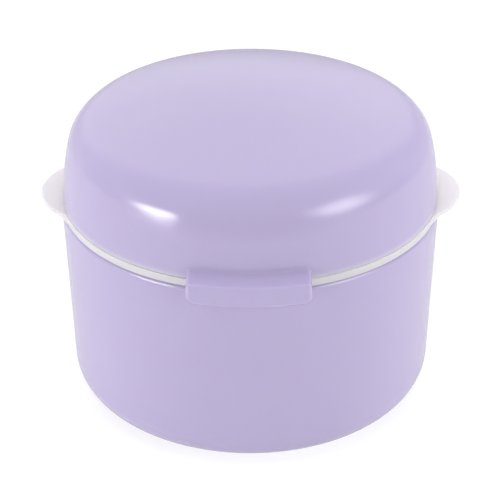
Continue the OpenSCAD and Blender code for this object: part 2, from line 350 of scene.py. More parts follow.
# %% Shader group: painted glow edge, a painted glow that whitens a lilac wall's end where light from white plastic would shine through
painted_glow_edge, given, result = new_effect("painted glow edge", [
    ("Colour", "Color", (1, 1, 1, 1)),
    ("Edge height", "Float", 47.2 * mm),
    ("Faded height", "Float", 48.8 * mm),
    ("Share", "Float", 0.8),
], [("Colour", "Color")])
# the colour that the painted glow mixes in towards the lower edge, in place of light from the
# white plastic
painted_glow_colour = (0.75, 0.73, 0.76, 1)
place = painted_glow_edge.nodes.new("ShaderNodeTexCoord")
parts = painted_glow_edge.nodes.new("ShaderNodeSeparateXYZ")
fade = painted_glow_edge.nodes.new("ShaderNodeMapRange")
fade.inputs["To Max"].default_value = 0.0
blend = painted_glow_edge.nodes.new("ShaderNodeMix")
blend.data_type = "RGBA"
blend.inputs["B"].default_value = painted_glow_colour
painted_glow_edge.links.new(place.outputs["Object"], parts.inputs[0])
painted_glow_edge.links.new(parts.outputs["Z"], fade.inputs["Value"])
painted_glow_edge.links.new(given.outputs["Edge height"], fade.inputs["From Min"])
painted_glow_edge.links.new(given.outputs["Faded height"], fade.inputs["From Max"])
painted_glow_edge.links.new(given.outputs["Share"], fade.inputs["To Min"])
curved = math_node(painted_glow_edge, "POWER", fade.outputs["Result"], 2.0)
painted_glow_edge.links.new(curved, blend.inputs["Factor"])
painted_glow_edge.links.new(given.outputs["Colour"], blend.inputs["A"])
painted_glow_edge.links.new(blend.outputs["Result"], result.inputs[0])
print("effects:", flow_marks.name, "/", mould_skin.name, "/", hairlines.name, "/", painted_glow_edge.name)

# %% [markdown]
# ## The finishes
#
# The cup, lid and tab are a glossy lilac polypropylene that lets a little light in, so it looks
# milky: a subsurface weight does that. Along the lid's lower edge a painted glow whitens the
# colour, where light from the white plastic behind and below it would shine through. Thin walls
# that let light through could show that, but would be slow to trace, so the lid has the same
# plastic with the painted glow edge group before its Base Color.
# The basket is white plastic, a little duller. The hinge pin is drawn steel wire with a fine
# grain. Single colours would look like paint on all of them.

# %% Finish helper
def finish_of(name, colour, roughness, scuffs, clouds, wave, grain_height):
    """A material with flow marks in its colour, hairlines in its gloss and a mould's skin."""
    material = bpy.data.materials.new(name)
    material.use_nodes = True
    tree = material.node_tree
    shader = tree.nodes["Principled BSDF"]
    for group, values, output, socket in (
        (flow_marks, {"Colour": colour, "Strength": clouds}, "Colour", "Base Color"),
        (hairlines, {"Roughness": roughness, "Scuffs": scuffs}, "Roughness", "Roughness"),
    ):
        node = tree.nodes.new("ShaderNodeGroup")
        node.node_tree = group
        for key, value in values.items():
            node.inputs[key].default_value = value
        tree.links.new(node.outputs[output], shader.inputs[socket])
    skin = tree.nodes.new("ShaderNodeGroup")
    skin.node_tree = mould_skin
    skin.inputs["Wave height"].default_value = wave
    skin.inputs["Grain height"].default_value = grain_height
    bump = tree.nodes.new("ShaderNodeBump")
    bump.inputs["Strength"].default_value = 1.0
    bump.inputs["Distance"].default_value = 0.1 * mm
    tree.links.new(skin.outputs["Height"], bump.inputs["Height"])
    tree.links.new(bump.outputs["Normal"], shader.inputs["Normal"])
    return material, shader


def milky(shader, weight, radius, depth):
    """Lets light into a plastic: how much, how far for each colour, and how deep in metres."""
    shader.inputs["Subsurface Weight"].default_value = weight
    shader.inputs["Subsurface Radius"].default_value = radius
    shader.inputs["Subsurface Scale"].default_value = depth
    shader.inputs["IOR"].default_value = polypropylene_ior


def linear(*shown):
    """A colour written as a screen shows it, turned into the linear values that shaders use."""
    values = [c / 12.92 if c <= 0.04045 else ((c + 0.055) / 1.055) ** 2.4 for c in shown]
    return (*values, 1.0)


polypropylene_ior = 1.49


# %% Lilac plastic
def lilac(name):
    """The case's lilac plastic."""
    material, shader = finish_of(
        name, linear(0.728, 0.688, 0.826),
        roughness=0.12, scuffs=0.05, clouds=0.03, wave=0.2, grain_height=0.02,
    )
    milky(shader, 0.35, (1.0, 0.8, 1.0), 1.5 * mm)
    return material, shader


lilac_plastic = lilac("lilac plastic")[0]

# %% The lid's lilac, with a painted glow that whitens its lower edge
lid_plastic_painted_glow, shader = lilac("lilac lid plastic with painted glow")
tree = lid_plastic_painted_glow.node_tree
# painted glow: the lid's colour whitens towards its lower edge, standing in for light from the
# white flange
painted_glow_node = tree.nodes.new("ShaderNodeGroup")
painted_glow_node.node_tree = painted_glow_edge
colour_link = shader.inputs["Base Color"].links[0]
tree.links.new(colour_link.from_socket, painted_glow_node.inputs["Colour"])
tree.links.new(painted_glow_node.outputs["Colour"], shader.inputs["Base Color"])

# %% White plastic
white_plastic, shader = finish_of(
    "white plastic", linear(0.875, 0.858, 0.87),
    roughness=0.3, scuffs=0.05, clouds=0.02, wave=0.2, grain_height=0.05,
)
milky(shader, 0.6, (1.0, 0.9, 0.8), 3 * mm)

# %% Pin steel
pin_steel, shader = finish_of(
    "pin steel", linear(0.74, 0.75, 0.77),
    roughness=0.3, scuffs=0.15, clouds=0.1, wave=0.0, grain_height=0.3,
)
shader.inputs["Metallic"].default_value = 1.0
for finish in (lilac_plastic, lid_plastic_painted_glow, white_plastic, pin_steel):
    print("finish", finish.name, "has", len(finish.node_tree.nodes), "nodes")

# %% [markdown]
# ## The cup
#
# An outer wall that leans out by under two degrees, so that it leaves its mould, a large round
# edge to the base, a foot ring and a softly rounded rim. The photograph shows a dark line where
# the rim rolls away under the white flange, and a thin bright one below it, so the rounding is
# 1.25 mm here, more than in the plain solid. Floor and inner wall follow at a 2 mm thickness.
# The whole shell is one closed outline from the axis under the foot, over the rim, to the axis
# inside.

# %% Cup sizes, as in the part's source but for the rim's rounding
cup_rim_r = 42.5 * mm
cup_foot_r = 41.1 * mm
cup_h = 45.7 * mm
cup_wall = 2.0 * mm
cup_floor = 2.2 * mm
cup_corner_r = 7.5 * mm
rim_round_r = 1.25 * mm
rim_inner_round_r = 0.5 * mm
foot_w = 5.0 * mm
foot_recess = 0.7 * mm
foot_round_r = 0.4 * mm
wall_lean = math.atan((cup_rim_r - cup_foot_r) / cup_h)


def wall_r(z, inset=0.0):
    """Radius of the cup's wall line at height z, moved inwards by inset."""
    return cup_foot_r + z * math.tan(wall_lean) - inset / math.cos(wall_lean)


foot_in_r = wall_r(cup_corner_r, cup_corner_r) - foot_w
print("the cup's wall leans", round(math.degrees(wall_lean), 2), "degrees")

# %% Turn the cup
cup_outline = rounded([
    (0, foot_recess),
    (foot_in_r - foot_recess, foot_recess, foot_round_r),
    (foot_in_r, 0, foot_round_r),
    (wall_r(0), 0, cup_corner_r),
    (wall_r(cup_h), cup_h, rim_round_r),
    (wall_r(cup_h, cup_wall), cup_h, rim_inner_round_r),
    (wall_r(cup_floor, cup_wall), cup_floor, cup_corner_r - cup_wall),
    (0, cup_floor),
], step=6.0)
cup_shell = turned("cup_shell", cup_outline, lilac_plastic)


# %% [markdown]
# ## The catch bead and the cup's knuckles
#
# Below the rim at the front stands a low bead, which the tab's hook snaps under. It is a short
# run of one section round the wall, sunk into the wall at both ends so that it fades out. At the
# back two knuckles with webs hold the pin. They are extruded side views with a bore and
# rounded edges.

# %% Section sweep helper
def swept(name, rings, material):
    """A closed piece from rings of equally many points, with its first and last ring capped."""
    count = len(rings[0])
    points = [p for ring in rings for p in ring]
    faces = []
    for i in range(len(rings) - 1):
        for j in range(count):
            k = (j + 1) % count
            faces.append((i * count + j, i * count + k, (i + 1) * count + k, (i + 1) * count + j))
    faces.append(tuple(reversed(range(count))))
    faces.append(tuple(range((len(rings) - 1) * count, len(rings) * count)))
    piece = new_piece(name, points, (), faces)
    piece.data.materials.append(material)
    return piece


# %% Catch bead
bead_r = 43.9 * mm
bead_root_r = cup_rim_r - 0.6 * mm
bead_top_z = 45.35 * mm
bead_h = 0.9 * mm
bead_half_w = 9.0 * mm
bead_half = math.asin(bead_half_w / bead_r)
bead_full_share, bead_end_share = 0.9, 0.05
bead_steps = 64
bead_section = rounded([
    (bead_root_r, bead_top_z - bead_h),
    (bead_r, bead_top_z - bead_h, 0.3 * mm),
    (bead_r, bead_top_z - bead_h / 2, 0.15 * mm),
    (cup_rim_r - rim_round_r, bead_top_z),
], closed=True)
rings = []
for i in range(bead_steps + 1):
    t = -1 + 2 * i / bead_steps
    angle = bead_half * t
    past = max(0.0, (abs(t) - bead_full_share) / (1 - bead_full_share))
    fade = max(bead_end_share, math.sqrt(max(0.0, 1 - past**2)))
    ring = [(bead_root_r + (r - bead_root_r) * fade, z) for r, z in bead_section]
    rings.append([(r * math.sin(angle), -r * math.cos(angle), z) for r, z in ring])
catch_bead = bake(swept("catch_bead", rings, lilac_plastic))


# %% Knuckle helpers
def extruded(name, side_view, x_from, x_to, material, edge=0.25 * mm):
    """A side view of (y, z) points carried along X, with rounded edges added by a Bevel."""
    rings = [[(x, y, z) for y, z in side_view] for x in (x_from, x_to)]
    piece = swept(name, rings, material)
    bevel = piece.modifiers.new("edges", "BEVEL")
    bevel.width = edge
    bevel.segments = 3
    bevel.angle_limit = math.radians(40)
    return bake(piece)


def bored(piece, centre, radius):
    """Cuts a round bore along X through a piece."""
    steps = 48
    circle = arc(centre, radius, 0, 360 * (1 - 1 / steps), steps - 1)
    rings = [[(x, y, z) for y, z in circle] for x in (-30 * mm, 30 * mm)]
    tool = bake(swept("bore_tool", rings, lilac_plastic))
    cut = piece.modifiers.new("bore", "BOOLEAN")
    cut.operation = "DIFFERENCE"
    cut.solver = "EXACT"
    cut.object = tool
    bake(piece)
    bpy.data.objects.remove(tool)
    return piece


# %% Cup knuckles
knuckle_r = 1.9 * mm
hinge = (44.7 * mm, 44.2 * mm)
hinge_len = 24.0 * mm
cup_knuckle_len = 5.7 * mm
cup_bore_r = 1.01 * mm
web_sunk_r = cup_rim_r - 1.2 * mm
web_foot = (cup_rim_r - 0.1 * mm, hinge[1] - 8 * mm)
web_top = cup_h - rim_round_r
web_meets = 180 - math.degrees(math.asin((web_top - hinge[1]) / knuckle_r))
knuckle_view = [(web_sunk_r, web_foot[1]), web_foot]
knuckle_view += arc(hinge, knuckle_r, -30, web_meets, 24)
knuckle_view.append((web_sunk_r, web_top))
cup_knuckles = []
for side, name in ((-1, "cup_knuckle_left"), (1, "cup_knuckle_right")):
    middle = side * (hinge_len - cup_knuckle_len) / 2
    ends = [middle + way * cup_knuckle_len / 2 for way in (-1, 1)]
    knuckle = extruded(name, knuckle_view, *ends, lilac_plastic)
    cup_knuckles.append(bored(knuckle, hinge, cup_bore_r))

# %% [markdown]
# ## The strainer basket
#
# A white bowl that follows the cup's wall with a small gap, a flange that lies on the cup's rim,
# a lip that stands up inside the lid, and two ears to lift it by. The bowl, flange and lip are
# one turned outline, and the flange's edge is turned down a little, so that it closes the gap
# over the rounded rim. The ears grow out of the flange: each of its points is pushed outwards as
# far as the ear's plan reaches in its direction, and the edge goes with it. Beyond the flange
# the ears thin out from below to 0.7 mm, which makes them as translucent as in the photograph.

# %% Basket sizes, as in the part's source but for the flange's edge
basket_inset = cup_wall + 0.8 * mm
basket_wall = 1.4 * mm
basket_inner_inset = basket_inset + basket_wall
basket_floor = 1.5 * mm
basket_floor_z = cup_floor + 6.5 * mm
basket_corner_r = 6.0 * mm
flange_r = 42.3 * mm
flange_t = 1.5 * mm
flange_edge = 0.15 * mm
flange_drop = 0.35 * mm
flange_drop_w = 0.6 * mm
flange_root_r = 0.2 * mm
lip_r = 39.75 * mm
lip_wall = 1.2 * mm
lip_edge = 0.4 * mm
lip_root_r = 0.3 * mm
flange_z = cup_h + flange_t
lip_top = flange_z + 2.4 * mm

# %% Turn the basket
flange_steps = [lip_r + (flange_r - lip_r) * i / 8 for i in range(1, 7)]
wall_heights = [z * mm for z in (18, 26, 34, 42)]
floor_top_z = basket_floor_z + basket_floor
basket_outline = rounded([
    (0, basket_floor_z),
    (wall_r(basket_floor_z, basket_inset), basket_floor_z, basket_corner_r),
    *((wall_r(z, basket_inset), z) for z in wall_heights),
    (wall_r(cup_h, basket_inset), cup_h, flange_root_r),
    *((r, cup_h) for r in flange_steps),
    (flange_r - flange_drop_w, cup_h),
    (flange_r, cup_h - flange_drop, flange_edge),
    (flange_r, flange_z, flange_edge),
    *((r, flange_z) for r in reversed(flange_steps)),
    (lip_r, flange_z, lip_root_r),
    (lip_r, lip_top, lip_edge),
    (lip_r - lip_wall, lip_top, lip_edge),
    *((wall_r(z, basket_inner_inset), z) for z in reversed(wall_heights)),
    (wall_r(floor_top_z, basket_inner_inset), floor_top_z, basket_corner_r - basket_wall),
    (0, floor_top_z),
], step=7.5)
basket = turned("basket", basket_outline, white_plastic, sides=480)

# %% Push out the two ears
ear_x = (94.4 / 2 - 15) * mm
ear_tip_r = 15.0 * mm
ear_root_r = 9.0 * mm
ear_t = 0.7 * mm
ear_thins_over = 1.5 * mm
blend_away = flange_r + ear_root_r
tip_to_blend = ear_tip_r + ear_root_r
blend_x = (blend_away**2 - tip_to_blend**2 + ear_x**2) / (2 * ear_x)
blend_y = math.sqrt(blend_away**2 - blend_x**2)
tip_share = ear_tip_r / tip_to_blend
tip_ends = math.atan2(blend_y * tip_share, ear_x + (blend_x - ear_x) * tip_share)
root_ends = math.atan2(blend_y, blend_x)


def ear_reach(angle):
    """Distance from the axis to the flange's edge, at an angle from the nearer ear's middle."""
    if angle < tip_ends:
        return ear_x * math.cos(angle) + math.sqrt(ear_tip_r**2 - (ear_x * math.sin(angle)) ** 2)
    if angle < root_ends:
        off = root_ends - angle
        across = blend_away * math.sin(off)
        return blend_away * math.cos(off) - math.sqrt(ear_root_r**2 - across**2)
    return flange_r


moved = 0
stretch_from = lip_r + 0.4 * mm
stretch_to = flange_r - flange_edge * 1.3
flange_low = cup_h - flange_drop
near = 1e-6
for vertex in basket.data.vertices:
    radius = math.hypot(vertex.co.x, vertex.co.y)
    if radius < stretch_from or not flange_low - near < vertex.co.z < flange_z + near:
        continue
    share = min(1.0, (radius - stretch_from) / (stretch_to - stretch_from))
    angle = math.atan2(abs(vertex.co.y), abs(vertex.co.x))
    grown = radius + share * (ear_reach(angle) - flange_r)
    vertex.co.x *= grown / radius
    vertex.co.y *= grown / radius
    out = max(0.0, min(1.0, (grown - flange_r) / ear_thins_over))
    thin = (1 - ear_t / flange_t) * out * out * (3 - 2 * out)
    vertex.co.z += thin * (flange_z - vertex.co.z)
    moved += grown > radius + same_point
print("ears: moved", moved, "points, span", round(2 * ear_reach(0) / mm, 1), "mm")

# %% [markdown]
# ## Drain slots and holes
#
# The liquid leaves the basket through upright slots round its wall and rings of holes in its
# floor. They repeat by rule, so one Geometry Nodes tree makes a cutter for each kind, sets the
# copies out and takes them all away in one Mesh Boolean. Cutting each hole by hand would be slow
# work that a change of count would undo.

# %% Geometry Nodes: cut the drains
slot_from, slot_to = 34 * mm, 45 * mm
slot_round_share, slot_round_points = 0.499, 8
drain_sides, hole_sides, hole_rings = 48, 24, 3
plug_depth = 6 * mm


def drain_tree():
    tree, given, result = new_tree("cut the drains", [
        ("Slots", "Int", 24),
        ("Slot width", "Float", 3 * mm),
        ("Slot height", "Float", 15 * mm),
        ("Slot middle", "Float", 23.7 * mm),
        ("Floor height", "Float", 9.5 * mm),
        ("Drain diameter", "Float", 8 * mm),
        ("Hole diameter", "Float", 4 * mm),
        ("Web", "Float", 3.4 * mm),
        ("Material", "Material", None),
    ])
    add, link = tree.nodes.new, tree.links.new

    # one slot: a rounded rectangle carried outwards along X
    plan = add("GeometryNodeCurvePrimitiveQuadrilateral")
    link(given.outputs["Slot width"], plan.inputs["Width"])
    link(given.outputs["Slot height"], plan.inputs["Height"])
    ends = add("GeometryNodeFilletCurve")
    ends.mode = "POLY"
    ends.inputs["Count"].default_value = slot_round_points
    link(plan.outputs[0], ends.inputs["Curve"])
    round_ends = math_node(tree, "MULTIPLY", given.outputs["Slot width"], slot_round_share)
    link(round_ends, ends.inputs["Radius"])
    line = add("GeometryNodeCurvePrimitiveLine")
    line.inputs["Start"].default_value = (slot_from, 0, 0)
    line.inputs["End"].default_value = (slot_to, 0, 0)
    stick = add("GeometryNodeCurveToMesh")
    stick.inputs["Fill Caps"].default_value = True
    link(line.outputs[0], stick.inputs["Curve"])
    link(ends.outputs[0], stick.inputs["Profile Curve"])

    # the slots stand round the wall, half a step from the ears
    seats = add("GeometryNodeMeshLine")
    link(given.outputs["Slots"], seats.inputs["Count"])
    seats.inputs["Offset"].default_value = (0, 0, 0)
    index = add("GeometryNodeInputIndex")
    step = math_node(tree, "DIVIDE", 2 * math.pi, given.outputs["Slots"])
    turn = add("ShaderNodeCombineXYZ")
    half_on = math_node(tree, "ADD", index.outputs[0], 0.5)
    link(math_node(tree, "MULTIPLY", half_on, step), turn.inputs["Z"])
    lift = add("ShaderNodeCombineXYZ")
    link(given.outputs["Slot middle"], lift.inputs["Z"])
    raised = add("GeometryNodeSetPosition")
    link(seats.outputs[0], raised.inputs["Geometry"])
    link(lift.outputs[0], raised.inputs["Offset"])
    slots = add("GeometryNodeInstanceOnPoints")
    link(raised.outputs[0], slots.inputs["Points"])
    link(stick.outputs[0], slots.inputs["Instance"])
    facing = add("FunctionNodeEulerToRotation")
    link(turn.outputs[0], facing.inputs[0])
    link(facing.outputs[0], slots.inputs["Rotation"])
    cutters = add("GeometryNodeJoinGeometry")
    link(slots.outputs[0], cutters.inputs[0])

    # the large drain in the middle, then rings of 6, 12 and 18 small holes
    floor = add("ShaderNodeCombineXYZ")
    link(given.outputs["Floor height"], floor.inputs["Z"])
    pitch = math_node(tree, "ADD", given.outputs["Web"], given.outputs["Hole diameter"])
    half_drain = math_node(tree, "MULTIPLY", given.outputs["Drain diameter"], 0.5)
    half_hole = math_node(tree, "MULTIPLY", given.outputs["Hole diameter"], 0.5)
    for ring in range(hole_rings + 1):
        plug = add("GeometryNodeMeshCylinder")
        plug.inputs["Vertices"].default_value = hole_sides if ring else drain_sides
        plug.inputs["Depth"].default_value = plug_depth
        link(half_hole if ring else half_drain, plug.inputs["Radius"])
        spots = add("GeometryNodeMeshCircle") if ring else add("GeometryNodeMeshLine")
        if ring:
            spots.inputs["Vertices"].default_value = 6 * ring
            reach = math_node(tree, "MULTIPLY", pitch, float(ring))
            outer_edge = math_node(tree, "ADD", reach, half_drain)
            link(math_node(tree, "SUBTRACT", outer_edge, half_hole), spots.inputs["Radius"])
        else:
            spots.inputs["Count"].default_value = 1
        placed = add("GeometryNodeSetPosition")
        link(spots.outputs[0], placed.inputs["Geometry"])
        link(floor.outputs[0], placed.inputs["Offset"])
        holes = add("GeometryNodeInstanceOnPoints")
        link(placed.outputs[0], holes.inputs["Points"])
        link(plug.outputs[0], holes.inputs["Instance"])
        link(holes.outputs[0], cutters.inputs[0])

    solid = add("GeometryNodeRealizeInstances")
    link(cutters.outputs[0], solid.inputs[0])
    cut = add("GeometryNodeMeshBoolean")
    cut.operation = "DIFFERENCE"
    cut.solver = "EXACT"
    link(given.outputs["Geometry"], cut.inputs["Mesh 1"])
    link(solid.outputs[0], cut.inputs["Mesh 2"])
    realized = add("GeometryNodeRealizeInstances")
    finish = add("GeometryNodeSetMaterial")
    link(cut.outputs[0], realized.inputs[0])
    link(realized.outputs[0], finish.inputs["Geometry"])
    link(given.outputs["Material"], finish.inputs["Material"])
    link(finish.outputs[0], result.inputs[0])
    return tree


# %% Cut the basket
drains = basket.modifiers.new("drains", "NODES")
drains.node_group = drain_tree()
set_inputs(drains, Material=white_plastic)
bake(basket)

# %% [markdown]
# ## The lid
#
# Seen from the side the dome is three arcs that run smoothly into each other: a wall that leans
# in more and more, a tight shoulder and a wide, nearly flat crown. The arcs are solved from the
# same values as the part's source, so the skin lies on the solid. The hollow repeats them one
# wall's thickness further in. The lower edge is nearly sharp outside and rests on the flange, as
# the photograph shows no gap there.

# %% Lid sizes and arcs
lid_r = 42.05 * mm
lid_h = 23.8 * mm
lid_wall = 1.9 * mm
lid_gap = 0.005 * mm
lid_z = flange_z + lid_gap
lid_outer_edge = 0.03 * mm
lid_inner_edge = 0.25 * mm
lean_low, lean_high, shoulder_r, crown_angle = 1.1, 13.2, 9.0 * mm, 75.0
wall_steps, shoulder_steps, crown_steps = 14, 18, 22


def cosd(a):
    return math.cos(math.radians(a))


def sind(a):
    return math.sin(math.radians(a))


crown_rise = (1 - sind(crown_angle)) / cosd(crown_angle)
shoulder_in = shoulder_r * (cosd(lean_high) - cosd(crown_angle))
shoulder_rise = shoulder_r * (sind(crown_angle) - sind(lean_high))
wall_arc_r = (lid_h - shoulder_rise - crown_rise * (lid_r - shoulder_in)) / (
    sind(lean_high) - sind(lean_low) - crown_rise * (cosd(lean_low) - cosd(lean_high))
)
wall_centre = (lid_r - wall_arc_r * cosd(lean_low), lid_z - wall_arc_r * sind(lean_low))
reach = wall_arc_r - shoulder_r
shoulder_centre = (
    wall_centre[0] + reach * cosd(lean_high),
    wall_centre[1] + reach * sind(lean_high),
)
crown_r = shoulder_centre[0] / cosd(crown_angle) + shoulder_r
crown_centre = (0, shoulder_centre[1] - shoulder_centre[0] * math.tan(math.radians(crown_angle)))
print("lid arcs:", [round(r / mm, 1) for r in (wall_arc_r, shoulder_r, crown_r)], "mm")


# %% Turn the lid
def dome(inset):
    """The lid's outline from its lower edge to the axis, moved inwards by inset."""
    start = math.degrees(math.asin((lid_z - wall_centre[1]) / (wall_arc_r - inset)))
    wall = arc(wall_centre, wall_arc_r - inset, start, lean_high, wall_steps)
    shoulder = arc(shoulder_centre, shoulder_r - inset, lean_high, crown_angle, shoulder_steps)
    crown = arc(crown_centre, crown_r - inset, crown_angle, 90, crown_steps)
    return wall + shoulder[1:] + crown[1:]


outer, inner = dome(0), dome(lid_wall)
outer[0] += (lid_outer_edge,)
inner[0] += (lid_inner_edge,)
lid_outline = rounded(list(reversed(inner)) + outer)
lid_outline[0] = (0, lid_outline[0][1])
lid_outline[-1] = (0, lid_outline[-1][1])
lid_dome = turned("lid_dome", lid_outline, lid_plastic_painted_glow)

# %% [markdown]
# ## The lid's hinge arm
#
# From the back of the lid an arm steps over the basket's flange and ends in the middle knuckle,
# which turns on the pin. Its inner end stays inside the lid's wall.

# %% Hinge arm
arm_half = 6 * mm
arm_sunk_low_r, arm_sunk_top_r, arm_top_r = 40.9 * mm, 40.6 * mm, 41.2 * mm
arm_bore_r = 1.05 * mm
arm_low_z = lid_z + 0.5 * mm
arm_back_z = lid_z + 2.4 * mm
arm_top_z = lid_z + 6.0 * mm
arm_corner = 0.6 * mm
arm_back_corner = 2.0 * mm
arm_view = rounded([
    (arm_sunk_low_r, arm_low_z),
    (hinge[0] - knuckle_r, arm_low_z, arm_corner),
    (hinge[0] - knuckle_r, hinge[1]),
], step=15.0)
arm_view += arc(hinge, knuckle_r, 180, 360, 28)[1:]
arm_view += rounded([
    (hinge[0] + knuckle_r, hinge[1] + 0.5 * mm),
    (hinge[0] + knuckle_r, arm_back_z, arm_back_corner),
    (arm_top_r, arm_top_z, arm_corner),
    (arm_sunk_top_r, arm_top_z),
], step=15.0)
lid_arm = extruded("lid_arm", arm_view, -arm_half, arm_half, lilac_plastic)
bored(lid_arm, hinge, arm_bore_r)

# %% [markdown]
# ## The snap tab
#
# The tab is a bent strip: a short ledge that leaves the lid in a hollow fillet, then a front
# face that hangs over the cup's rim, with a hook inside its lower edge. Its root is sunk into
# the lid's wall. Its front follows the round case and its two lower corners are rounded. One
# section is swept from side to side, as a draughtsman would draw it: its lower part rises to
# make the corners, and near the sides it shrinks to round the edges. A strip this thin would
# turn inside out if all its faces shrank alike, so the inner ones shrink only a quarter as much.

# %% Tab section, root fillet and hook included
tab_reach = 46.6 * mm
tab_t = 1.8 * mm
tab_top = 48.7 * mm
tab_low = 43.55 * mm
tab_root_top = 49.5 * mm
tab_root_low = 47.7 * mm
tab_sunk_r = 40.6 * mm
tab_buried_z = tab_root_top + 1.2 * mm
root_fillet = 0.7 * mm
front_top_round = 0.45 * mm
front_low_round = 1.3 * mm
hook_r = 44.05 * mm
tab_section = rounded([
    (tab_sunk_r, tab_root_low),
    (tab_sunk_r, tab_buried_z),
    (lid_r - 0.18 * mm, tab_buried_z),
    (lid_r - 0.07 * mm, tab_root_top, root_fillet),
    (tab_reach, tab_top, front_top_round),
    (tab_reach, tab_low, front_low_round),
    (hook_r + 0.3 * mm, tab_low, 0.25 * mm),
    (hook_r, tab_low + 0.35 * mm, 0.15 * mm),
    (hook_r, tab_low + 0.6 * mm, 0.15 * mm),
    (tab_reach - tab_t, tab_low + 1.1 * mm, 0.3 * mm),
    (tab_reach - tab_t, tab_top - 1.2 * mm, 0.5 * mm),
], step=12.0, closed=True)
print("the tab's section has", len(tab_section), "points")


# %% Sweep the tab
def outward_normals(loop):
    """The outward unit normal at each point of a closed loop, whichever way it runs."""
    count = len(loop)
    area = sum(loop[i - 1][0] * loop[i][1] - loop[i][0] * loop[i - 1][1] for i in range(count))
    sign = 1 if area > 0 else -1
    normals = []
    for i in range(count):
        a, b, c = (Vector(loop[j % count]) for j in (i - 1, i, i + 1))
        along = (b - a).normalized() + (c - b).normalized()
        normals.append(Vector((along.y, -along.x)).normalized() * sign)
    return normals


tab_half = 13.1 * mm
tab_taper = 0.25 * mm
tab_corner = 1.8 * mm
side_edge = 0.9 * mm
inner_share = 0.25
flat_steps, corner_step = 16, 6


def fallen(x, radius):
    """How far a round end of this radius has curved away at a distance x from the middle."""
    past = max(0.0, abs(x) - (tab_half - radius))
    return radius - math.sqrt(max(0.0, radius**2 - past**2))


normals = outward_normals(tab_section)
flat_half = tab_half - tab_corner
stations = [flat_half * i / flat_steps for i in range(flat_steps + 1)]
for angle in range(corner_step, 91, corner_step):
    stations.append(tab_half - tab_corner * (1 - sind(angle)))
stations = [-x for x in reversed(stations[1:])] + stations
rings = []
for x in stations:
    rise = fallen(x, tab_corner)
    inset = fallen(x, side_edge)
    ring = []
    for (r, z), n in zip(tab_section, normals):
        depth = inset * (inner_share + (1 - inner_share) * max(0.0, n.x, n.y))
        r, z = r - n.x * depth, z - n.y * depth
        share = max(0.0, min(1.0, (tab_top - z) / (tab_top - tab_low)))
        z += rise * share
        side = x * (1 - (1 - share) * tab_taper / tab_half)
        ring.append((side, -math.sqrt(r * r - side * side), z))
    rings.append(ring)
snap_tab = bake(swept("snap_tab", rings, lilac_plastic))

# %% [markdown]
# ## The hinge pin
#
# A length of drawn wire with its ends rounded, so that it starts easily in the bore. It is
# turned like the shells and then laid along the hinge.

# %% Hinge pin
pin_r = 1.0 * mm
pin_half = 11.6 * mm
pin_end_round = 0.3 * mm
pin_outline = rounded([
    (0, -pin_half),
    (pin_r, -pin_half, pin_end_round),
    (pin_r, pin_half, pin_end_round),
    (0, pin_half),
], step=15.0)
pin = turned("pin", pin_outline, pin_steel, sides=48)
for vertex in pin.data.vertices:
    x, y, z = vertex.co
    vertex.co = (z, hinge[0] + x, hinge[1] + y)
bake(pin)

# %% [markdown]
# ## What moves with what
#
# Each skin rides on an empty named for the body of the solid that it stands for, so it moves with
# that body, and the solid itself is hidden.

# %% Ride and replace
def dress(piece, body, node):
    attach(piece, body)
    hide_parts(node)


for piece in [cup_shell, catch_bead, *cup_knuckles]:
    dress(piece, "cup", "outer_cup")
dress(basket, "cup", "strainer_basket")
dress(pin, "cup", "hinge_pin")
for piece in (lid_dome, lid_arm):
    dress(piece, "lid", "lid")
dress(snap_tab, "latch", "latch_tab")

# %% [markdown]
# ## Floor and surroundings
#
# The photograph has a white background and only a faint shadow. The floor is a matt pale grey
# that takes the case's soft shadow, with a glow of its own: that stands for the light a wide
# white table gives back, and it lights the cup's wall from below. What the camera sees of the
# floor is lifted to white by light that only camera rays meet, so it adds nothing to the case.
#
# Around the table the room is dark, apart from one round bright area on the wall behind and a
# paler strip low down. The crown mirrors the first and the sides of the case the second, which
# is why the crown is paler than the shoulder. Camera rays meet plain white instead.

# %% White floor
floor_reach = 0.42
bpy.ops.mesh.primitive_circle_add(vertices=64, radius=floor_reach, fill_type="NGON")
floor = bpy.context.object
floor.name = "floor"
floor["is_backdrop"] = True
floor_grey, floor_glow, camera_lift = 0.32, 0.5, 0.28
floor_paint = bpy.data.materials.new("white floor")
floor_paint.use_nodes = True
tree = floor_paint.node_tree
tree.nodes.clear()
matt = tree.nodes.new("ShaderNodeBsdfDiffuse")
matt.inputs["Color"].default_value = (floor_grey, floor_grey, floor_grey, 1)
lift = tree.nodes.new("ShaderNodeEmission")
seen = tree.nodes.new("ShaderNodeLightPath")
both = tree.nodes.new("ShaderNodeAddShader")
out = tree.nodes.new("ShaderNodeOutputMaterial")
lifted = math_node(tree, "MULTIPLY", seen.outputs["Is Camera Ray"], camera_lift)
tree.links.new(math_node(tree, "ADD", lifted, floor_glow), lift.inputs["Strength"])
tree.links.new(matt.outputs[0], both.inputs[0])
tree.links.new(lift.outputs[0], both.inputs[1])
tree.links.new(both.outputs[0], out.inputs["Surface"])
floor.data.materials.append(floor_paint)

# %% White surroundings
bright_way = (-0.11, 0.80, 0.59)
world = bpy.data.worlds.new("studio")
scene.world = world
world.use_nodes = True
tree = world.node_tree
sky = tree.nodes["Background"]
seen = tree.nodes.new("ShaderNodeLightPath")
sky.inputs["Color"].default_value = (1, 1, 1, 1)
direction = tree.nodes.new("ShaderNodeTexCoord")
towards = tree.nodes.new("ShaderNodeVectorMath")
towards.operation = "DOT_PRODUCT"
towards.inputs[1].default_value = bright_way
parts = tree.nodes.new("ShaderNodeSeparateXYZ")
for node in (towards, parts):
    tree.links.new(direction.outputs["Generated"], node.inputs[0])


def eased(value, low, high, at_low, at_high):
    """A strength that goes smoothly from one value to another as an output rises."""
    step = tree.nodes.new("ShaderNodeMapRange")
    step.interpolation_type = "SMOOTHSTEP"
    ends = {"From Min": low, "From Max": high, "To Min": at_low, "To Max": at_high}
    for socket, number in ends.items():
        step.inputs[socket].default_value = number
    tree.links.new(value, step.inputs["Value"])
    return step.outputs["Result"]


